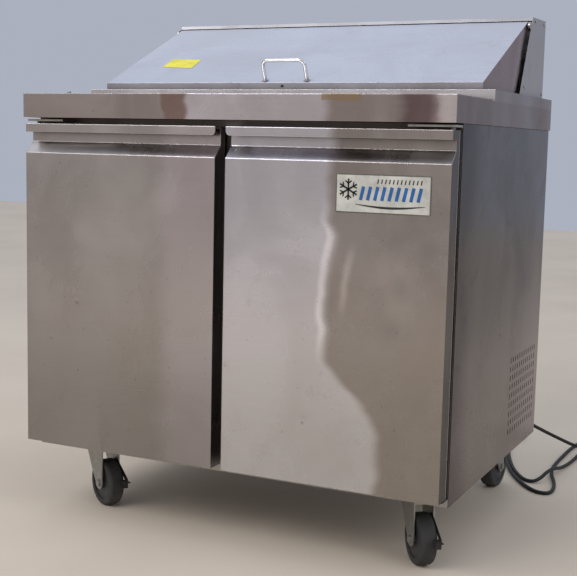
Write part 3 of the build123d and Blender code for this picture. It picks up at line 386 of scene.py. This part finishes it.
def lid_tones(s, color):
    """Bluish slope, painted shade on the triangular ends and on the faces along Y, and a small mark on
    the front flange.
    """
    slanted = s.math("ADD", s.axis("Y"), s.math("MULTIPLY", s.axis("Z"), -0.5))
    lit = s.ramp(s.ramp(slanted, -0.40, -0.30), 0.0, 1.0)
    # Painted shade: the triangular ends darken away from the lit slope.
    shaded_ends_tone = s.tinted(color, rgba(0.45, 0.36, 0.34), s.math("SUBTRACT", 1.0, lit))
    tone = s.mix(s.facing("X"), color, s.tinted(shaded_ends_tone, rgba(1.15, 0.95, 0.90), 1.0))
    # Painted shade: faces along Y, such as the front flange, are a little darker.
    tone = s.tinted(tone, rgba(0.90, 0.88, 0.88), s.facing("Y"))
    off_x = s.math("DIVIDE", s.math("SUBTRACT", s.axis("X"), 0.004), 0.004)
    off_z = s.math("DIVIDE", s.math("SUBTRACT", s.axis("Z"), LEDGE_Z + 0.0275), 0.003)
    square = s.math("ADD", s.math("MULTIPLY", off_x, off_x), s.math("MULTIPLY", off_z, off_z))
    return s.tinted(tone, rgba(0.15, 0.12, 0.10), s.ramp(square, 0.5, 1.2, 1.0, 0.0))


RIGHT_DENTS = (
    (0.335, LEDGE_Z - 0.345, 0.020, 0.040, 0.0016),
    (0.370, LEDGE_Z - 0.325, 0.014, 0.024, 0.0012),
    (0.355, LEDGE_Z - 0.400, 0.030, 0.030, 0.0012),
    (0.236, LEDGE_Z - 0.330, 0.022, 0.090, 0.0014),
    (0.165, LEDGE_Z - 0.300, 0.045, 0.080, 0.0008),
    (0.185, LEDGE_Z - 0.605, 0.007, 0.007, 0.0012),
    (0.255, LEDGE_Z - 0.520, 0.006, 0.020, 0.0008),
)
LEFT_DENTS = (
    (-0.395, LEDGE_Z - 0.500, 0.004, 0.004, 0.0006),
    (-0.330, LEDGE_Z - 0.420, 0.004, 0.004, 0.0005),
    (-0.170, LEDGE_Z - 0.560, 0.012, 0.020, 0.0005),
)
steel_band = steel(
    "band_steel", rgba(0.60, 0.58, 0.58), 0.24, wave=0.003, wave_scale=(9, 2, 14), dirt=0.35,
    tones=band_tones,
)
steel_left = steel(
    "left_door_steel", rgba(0.52, 0.49, 0.485), 0.27, wave=0.003, wave_scale=(3.5, 1, 2),
    dents=LEFT_DENTS, dirt=0.22, tones=left_door_tones, edge=0.002,
)
steel_right = steel(
    "right_door_steel", rgba(0.435, 0.40, 0.39), 0.25, wave=0.005, wave_scale=(5, 1, 2.4),
    dents=RIGHT_DENTS, dirt=0.22, tones=right_door_tones, edge=0.002,
)
# The side panels' steel has a far darker base than the rest: painted shade on the side faces.
side_steel_shaded = steel(
    "side_steel", rgba(0.114, 0.103, 0.106), 0.26, wave=0.004, wave_scale=(1, 4, 2.2), dirt=0.2,
    stain=rgba(0.08, 0.07, 0.06), tones=side_tones,
)
steel_lid = steel(
    "lid_steel", rgba(0.585, 0.60, 0.67), 0.26, wave=0.0006, wave_scale=(4, 4, 3), dirt=0.08,
    tones=lid_tones,
)
steel_hood = steel("hood_steel", rgba(0.55, 0.53, 0.54), 0.3, wave=0.001, dirt=0.2)
steel_end = steel("hood_end_steel", rgba(0.47, 0.44, 0.44), 0.3, wave=0.001, dirt=0.2)
steel_plain = steel("plain_steel", rgba(0.62, 0.61, 0.61), 0.24, dirt=0.2)
# The front frame's steel is darker than the plain steel: painted shade in the gaps behind the doors.
shaded_frame_steel = steel("shaded_frame_steel", rgba(0.42, 0.40, 0.39), 0.4, dirt=0.2)
galvanised = steel(
    "galvanised_sheet", rgba(0.45, 0.46, 0.47), 0.42, grain=(40, 40, 40), dirt=0.5, anisotropic=0.0,
)
aluminium = steel(
    "liner_aluminium", rgba(0.72, 0.73, 0.74), 0.4, grain=(30, 30, 30), dirt=0.1, anisotropic=0.0,
)
pan_steel = steel(
    "pan_steel", rgba(0.70, 0.70, 0.71), 0.2, grain=(30, 30, 30), dirt=0.1, anisotropic=0.0,
)
zinc = plain("zinc_plate", rgba(0.40, 0.40, 0.38), 0.8, 0.42, 90, 0.0001)
screw_steel = plain("screw_steel", rgba(0.55, 0.54, 0.52), 0.9, 0.35, 200, 0.00005, 0.0004)
tyre_rubber = plain("tyre_rubber", rgba(0.035, 0.034, 0.034), 0.0, 0.75, 120, 0.0004, 0.0015, 0.18)
hub_plastic = plain("hub_plastic", rgba(0.035, 0.036, 0.038), 0.0, 0.5, 80)
black_paint = plain("black_paint", rgba(0.012, 0.012, 0.012), 0.0, 0.5, 80, dust=0.06)
black_plastic = plain("black_plastic", rgba(0.012, 0.012, 0.012), 0.0, 0.6, 80, dust=0.03)
cord_sheath = plain("cord_sheath", rgba(0.006, 0.007, 0.007), 0.0, 0.72, 150, 0.0001, dust=0.03)
gasket_rubber = plain("gasket_rubber", rgba(0.05, 0.05, 0.05), 0.0, 0.6, 80)
foam_filling = plain("foam_filling", rgba(0.70, 0.60, 0.36), 0.0, 0.9, 200, 0.0006)
white_wire = plain("white_wire", rgba(0.80, 0.80, 0.78), 0.0, 0.35, 40)
copper = plain("copper_tube", rgba(0.60, 0.30, 0.16), 1.0, 0.35, 60)
badge_face = plain("badge_face", rgba(0.58, 0.58, 0.53), 0.0, 0.3, 30, 0.00005, 0.0004, dust=0.12)
badge_rim = plain("badge_rim", rgba(0.10, 0.10, 0.10), 0.2, 0.4, 60)
badge_blue = plain("badge_blue", rgba(0.005, 0.11, 0.36), 0.0, 0.4, 60, 0.00003, 0.0001, dust=0.03)
badge_black = plain(
    "badge_black", rgba(0.012, 0.012, 0.014), 0.0, 0.4, 60, 0.00003, 0.0001, dust=0.03
)
sticker_yellow = plain("sticker_yellow", rgba(0.80, 0.72, 0.04), 0.0, 0.55, 30, 0.00003, 0.0001)

dress(steel_band, "worktop")
dress(steel_plain, "board_stop", "lid_handle")
dress(shaded_frame_steel, "front_frame")
dress(steel_left, "left_door_skin")
dress(steel_right, "right_door_skin")
dress(side_steel_shaded, "left_side_panel", "right_side_panel")
dress(steel_end, "hood_ends")
dress(steel_lid, "lid_skin")
dress(steel_hood, "hood_shell")
dress(galvanised, "base_pan", "back_panel", "rear_grille")
dress(aluminium, "inner_liner", "evaporator_cover", "lid_liner", "left_door_liner", "right_door_liner")
dress(aluminium, "condenser_coil", "evaporator_coil")
dress(pan_steel, "pan_bars", "food_pans")
dress(zinc, "door_hinges", "caster_plates", "shelf_clips")
dress(screw_steel, "hood_screws")
dress(black_paint, "compressor", "condenser_shroud")
dress(black_paint, "front_left_brake_pedal", "front_right_brake_pedal")
dress(black_plastic, "condenser_fan", "evaporator_fan", "thermostat_knob", "power_switch")
dress(black_plastic, "cord_gland", "power_plug")
dress(gasket_rubber, "left_door_gasket", "right_door_gasket")
dress(foam_filling, "cabinet_foam", "lid_foam", "left_door_foam", "right_door_foam")
dress(white_wire, "wire_shelves")
dress(copper, "refrigerant_lines")
for corner in ("front_left", "front_right", "rear_left", "rear_right"):
    dress(zinc, f"{corner}_fork")
    dress(tyre_rubber, f"{corner}_tyre")
    dress(hub_plastic, f"{corner}_hub")


# ---------------------------------------------------------------- small visual pieces
def prism(mesh_builder, outline, thickness):
    """Adds a closed plate: the outline's points, then the same points moved by thickness."""
    low = [mesh_builder.verts.new(point) for point in outline]
    high = [mesh_builder.verts.new(point + thickness) for point in outline]
    mesh_builder.faces.new(low)
    mesh_builder.faces.new(high[::-1])
    for index in range(len(low)):
        after = (index + 1) % len(low)
        mesh_builder.faces.new((low[index], high[index], high[after], low[after]))
    bmesh.ops.recalc_face_normals(mesh_builder, faces=mesh_builder.faces[:])


LID_SLOPE = radians(24.4)
LID_FOOT = 255
LID_FLANGE = 0.0345


def lid_point(x, behind_front, lift=0.0):
    """A point on the lid's slope, in millimetres right of the middle and behind the front."""
    rise = sin(LID_SLOPE) / cos(LID_SLOPE) * (behind_front - LID_FOOT) * MM
    height = LEDGE_Z + LID_FLANGE + rise + cos(LID_SLOPE) * lift
    return Vector((x * MM, FRONT + behind_front * MM - sin(LID_SLOPE) * lift, height))


def make_sticker():
    """A blank yellow label near the lid's left end."""
    corners = ((-342, 344), (-342, 389), (-265, 384), (-262, 336))
    label = bmesh.new()
    outline = [lid_point(x, depth, 0.0002) for x, depth in corners]
    prism(label, outline, lid_point(0, 300, 0.0003) - lid_point(0, 300))
    piece_from(label, "lid_label", sticker_yellow, "lid", smooth=False)


BADGE_X = 0.3315
BADGE_Z = LEDGE_Z - 0.1765
BADGE_BACK = DOOR_FACE - 0.0001


def badge_point(right, up, forward):
    """A point on the badge, in millimetres from its middle and out of the door's face."""
    return Vector((BADGE_X + right * MM, BADGE_BACK - forward * MM, BADGE_Z + up * MM))


def rounded_outline(half_x, half_z, radius, forward):
    outline = []
    for quarter in range(4):
        sign_x = (1, -1, -1, 1)[quarter]
        sign_z = (1, 1, -1, -1)[quarter]
        for step in range(7):
            turn = radians(90 * quarter + 15 * step)
            right = sign_x * (half_x - radius) + radius * cos(turn)
            up = sign_z * (half_z - radius) + radius * sin(turn)
            outline.append(badge_point(right, up, forward))
    return outline


def make_badge_plates():
    for name, material, inset, low, high in (
        ("badge_rim_plate", badge_rim, 0.0, 0.0, 0.9),
        ("badge_face_plate", badge_face, 1.6, 0.9, 1.2),
    ):
        plate = bmesh.new()
        outline = rounded_outline(90 - inset, 34.5 - inset, 2.6 - inset, low)
        prism(plate, outline, Vector((0, -(high - low) * MM, 0)))
        replaced = ("badge",) if name == "badge_rim_plate" else ()
        piece_from(plate, name, material, "right_door", replaced, smooth=False)


def badge_bar(mesh_builder, start, end, width):
    """A flat bar on the badge's face from start to end, each right of and above its middle."""
    run = Vector((end[0] - start[0], end[1] - start[1])).normalized() * width / 2
    outline = [
        badge_point(start[0] - run.y, start[1] + run.x, 1.2),
        badge_point(start[0] + run.y, start[1] - run.x, 1.2),
        badge_point(end[0] + run.y, end[1] - run.x, 1.2),
        badge_point(end[0] - run.y, end[1] + run.x, 1.2),
    ]
    prism(mesh_builder, outline, Vector((0, -0.12 * MM, 0)))


def make_snowflake():
    """A plain six-armed snowflake, the common sign for cold."""
    flake = bmesh.new()
    middle = Vector((-66, 7))
    for arm in range(6):
        turn = radians(60 * arm + 90)
        along = Vector((cos(turn), sin(turn)))
        badge_bar(flake, middle, middle + along * 19, 3.4)
        for lean in (-1, 1):
            side = turn + lean * radians(50)
            knot = middle + along * 10.5
            badge_bar(flake, knot, knot + Vector((cos(side), sin(side))) * 8, 2.6)
    piece_from(flake, "badge_snowflake", badge_black, "right_door", smooth=False)


def make_bar_row(name, material, count, first, pitch, low, high, width):
    """A row of leaning bars where such a plate has its wording."""
    row = bmesh.new()
    for index in range(count):
        right = first + pitch * index
        badge_bar(row, (right, low), (right + 0.22 * (high - low), high), width)
    piece_from(row, name, material, "right_door", smooth=False)


def make_underline():
    """A thin black line under the bars, thickest in its middle."""
    line = bmesh.new()
    count = 16
    places = []
    for step in range(count + 1):
        share = step / count
        bulge = sin(pi * share)
        places.append((-52 + 132 * share, -19 - 5 * bulge, 0.5 + 1.6 * bulge))
    for (left, up, half), (right, next_up, next_half) in zip(places, places[1:]):
        outline = (
            badge_point(left, up - half, 1.2),
            badge_point(right, next_up - next_half, 1.2),
            badge_point(right, next_up + next_half, 1.2),
            badge_point(left, up + half, 1.2),
        )
        prism(line, outline, Vector((0, -0.12 * MM, 0)))
    piece_from(line, "badge_underline", badge_black, "right_door", smooth=False)


def make_vent_shade_sheet():
    """A black sheet behind the side vents: painted shade that makes the slots dark."""
    screen = bmesh.new()
    outline = [
        Vector((0.4480, FRONT + depth * MM, LEDGE_Z + height * MM))
        for depth, height in ((452, -708), (676, -708), (676, -526), (452, -526))
    ]
    prism(screen, outline, Vector((-0.0008, 0, 0)))
    piece_from(screen, "vent_shade_sheet", black_plastic, "cabinet", smooth=False)


def make_strain_relief():
    """A ribbed sleeve that tapers from the gland along the cord's first straight run."""
    middle = Vector((0.400, FRONT + 0.731, 0.165))
    sleeve = bmesh.new()
    rings = []
    for step in range(13):
        share = step / 12
        rib = 0.0005 if step % 2 else 0.0
        radius = 0.0078 - 0.0026 * share + rib
        ring = []
        for turn in range(24):
            angle = 2 * pi * turn / 24
            offset = Vector((radius * cos(angle), 0.026 * share, radius * sin(angle)))
            ring.append(sleeve.verts.new(middle + offset))
        rings.append(ring)
    for ring, after in zip(rings, rings[1:]):
        for turn in range(24):
            following = (turn + 1) % 24
            sleeve.faces.new((ring[turn], ring[following], after[following], after[turn]))
    sleeve.faces.new(rings[0])
    sleeve.faces.new(rings[-1][::-1])
    bmesh.ops.recalc_face_normals(sleeve, faces=sleeve.faces[:])
    piece_from(sleeve, "cord_strain_relief", black_plastic, "cabinet")


make_sticker()
make_badge_plates()
make_snowflake()
make_bar_row("badge_blue_bars", badge_blue, 9, -42, 13.6, -11.5, 13, 6.4)
make_bar_row("badge_small_bars", badge_black, 12, -10, 7.4, 18.5, 26.5, 2.2)
make_underline()
make_vent_shade_sheet()
make_strain_relief()


# ---------------------------------------------------------------- power cord
# The route's points: right of the middle, behind the front edge and above the floor, in millimetres
LIE = 4.6
HUMP = 21.6
PLUG = 12.4
CORD_ROUTE = (
    (400, 726, 165), (400, 748, 165), (409, 784, 148), (431, 820, 124), (440, 860, 107),
    (446, 900, 91), (475, 950, 64), (504, 1000, 38), (530, 1060, 27), (565, 1120, 10),
    (590, 1170, LIE), (590, 1220, LIE), (550, 1250, LIE), (500, 1235, LIE), (478, 1190, LIE),
    (475, 1149, LIE), (469, 1097, LIE), (467, 1045, LIE), (466, 946, LIE), (468, 883, LIE),
    (479, 828, LIE), (500, 768, LIE), (511, 711, LIE), (509.5, 677, LIE), (495, 668, LIE),
    (472, 676, LIE), (440, 712, LIE), (409, 759, LIE), (383, 810, LIE), (361, 861, LIE),
    (340, 921.5, LIE), (326, 968, LIE), (300, 1030, LIE), (258, 1086, LIE), (227, 1142, LIE),
    (239, 1194, LIE), (287, 1211, LIE), (328, 1180, LIE), (324, 1124, LIE), (317, 1052, LIE),
    (335, 970, LIE), (358.2, 899.2, LIE), (383.2, 833.6, LIE), (411, 782, LIE), (433.5, 751.5, LIE),
    (454.5, 749, LIE), (468, 769, 11), (476.5, 793, HUMP), (486.5, 834, HUMP), (489, 882, 9),
    (496.5, 955, LIE), (500, 1015, LIE), (506, 1064, PLUG), (514, 1104, PLUG),
)
CORD_DIAMETER = 0.0085


def make_cord():
    points = [Vector((x * MM, FRONT + y * MM, z * MM)) for x, y, z in CORD_ROUTE]
    data = bpy.data.curves.new("cord_flex", "CURVE")
    data.dimensions = "3D"
    spline = data.splines.new("NURBS")
    spline.points.add(len(points) - 1)
    for target, point in zip(spline.points, points):
        target.co = (*point, 1.0)
    spline.order_u = 3
    spline.use_endpoint_u = True
    spline.resolution_u = 8
    data.bevel_depth = CORD_DIAMETER / 2
    data.bevel_resolution = 4
    data.use_fill_caps = True
    data.materials.append(cord_sheath)
    flex = bpy.data.objects.new("cord_flex", data)
    bpy.context.collection.objects.link(flex)
    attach(flex, "cabinet")
    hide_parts("power_cord")


make_cord()


# ---------------------------------------------------------------- floor, light and surroundings
def make_floor():
    s = Shader("floor_paint")
    cloud = s.noise((1.2, 1.2, 1.2), detail=5)
    tone = s.mix(s.ramp(cloud, 0.3, 0.7), rgba(0.53, 0.45, 0.365), rgba(0.58, 0.50, 0.41))
    material = s.finish(tone, 0.0, 0.85)
    grid = bmesh.new()
    bmesh.ops.create_grid(grid, x_segments=4, y_segments=4, size=9.0)
    mesh = bpy.data.meshes.new("floor")
    grid.to_mesh(mesh)
    grid.free()
    mesh.materials.append(material)
    floor = bpy.data.objects.new("floor", mesh)
    bpy.context.collection.objects.link(floor)


def area_light(name, place, target, size, power, color=(1, 1, 1)):
    data = bpy.data.lights.new(name, "AREA")
    data.shape = "RECTANGLE"
    data.size = size[0]
    data.size_y = size[1]
    data.energy = power
    data.color = color
    lamp = bpy.data.objects.new(name, data)
    lamp.location = place
    lamp.rotation_euler = (Vector(target) - Vector(place)).to_track_quat("-Z", "Y").to_euler()
    bpy.context.collection.objects.link(lamp)


def make_surroundings():
    """Soft light from above, a bluish wall tone behind the table and a warm one before its doors."""
    world = bpy.data.worlds.new("studio")
    bpy.context.scene.world = world
    world.use_nodes = True
    nodes = world.node_tree.nodes
    links = world.node_tree.links
    split = nodes.new("ShaderNodeSeparateXYZ")
    links.new(nodes.new("ShaderNodeTexCoord").outputs["Generated"], split.inputs[0])

    def fade(source, low, high):
        node = nodes.new("ShaderNodeMapRange")
        node.interpolation_type = "SMOOTHSTEP"
        links.new(source, node.inputs["Value"])
        node.inputs["From Min"].default_value = low
        node.inputs["From Max"].default_value = high
        return node.outputs["Result"]

    def blend(factor, a, b):
        node = nodes.new("ShaderNodeMix")
        node.data_type = "RGBA"
        links.new(factor, node.inputs["Factor"])
        for socket, value in ((node.inputs["A"], a), (node.inputs["B"], b)):
            if isinstance(value, bpy.types.NodeSocket):
                links.new(value, socket)
            else:
                socket.default_value = value
        return node.outputs["Result"]

    walls = blend(fade(split.outputs["Y"], -0.3, 0.3), rgba(0.50, 0.46, 0.44), rgba(0.45, 0.485, 0.57))
    whole = blend(fade(split.outputs["Z"], 0.10, 0.55), walls, rgba(0.90, 0.96, 1.08))
    links.new(whole, nodes["Background"].inputs["Color"])
    nodes["Background"].inputs["Strength"].default_value = 0.9


make_floor()
make_surroundings()
area_light("key", (-1.5, -3.2, 3.2), (0, 0, 0.6), (3.0, 2.0), 90, (1.0, 0.98, 0.95))
area_light("fill", (3.2, -0.8, 2.2), (0.3, 0, 0.5), (2.0, 2.0), 18, (0.95, 0.97, 1.0))
bpy.context.scene.view_settings.view_transform = "Standard"
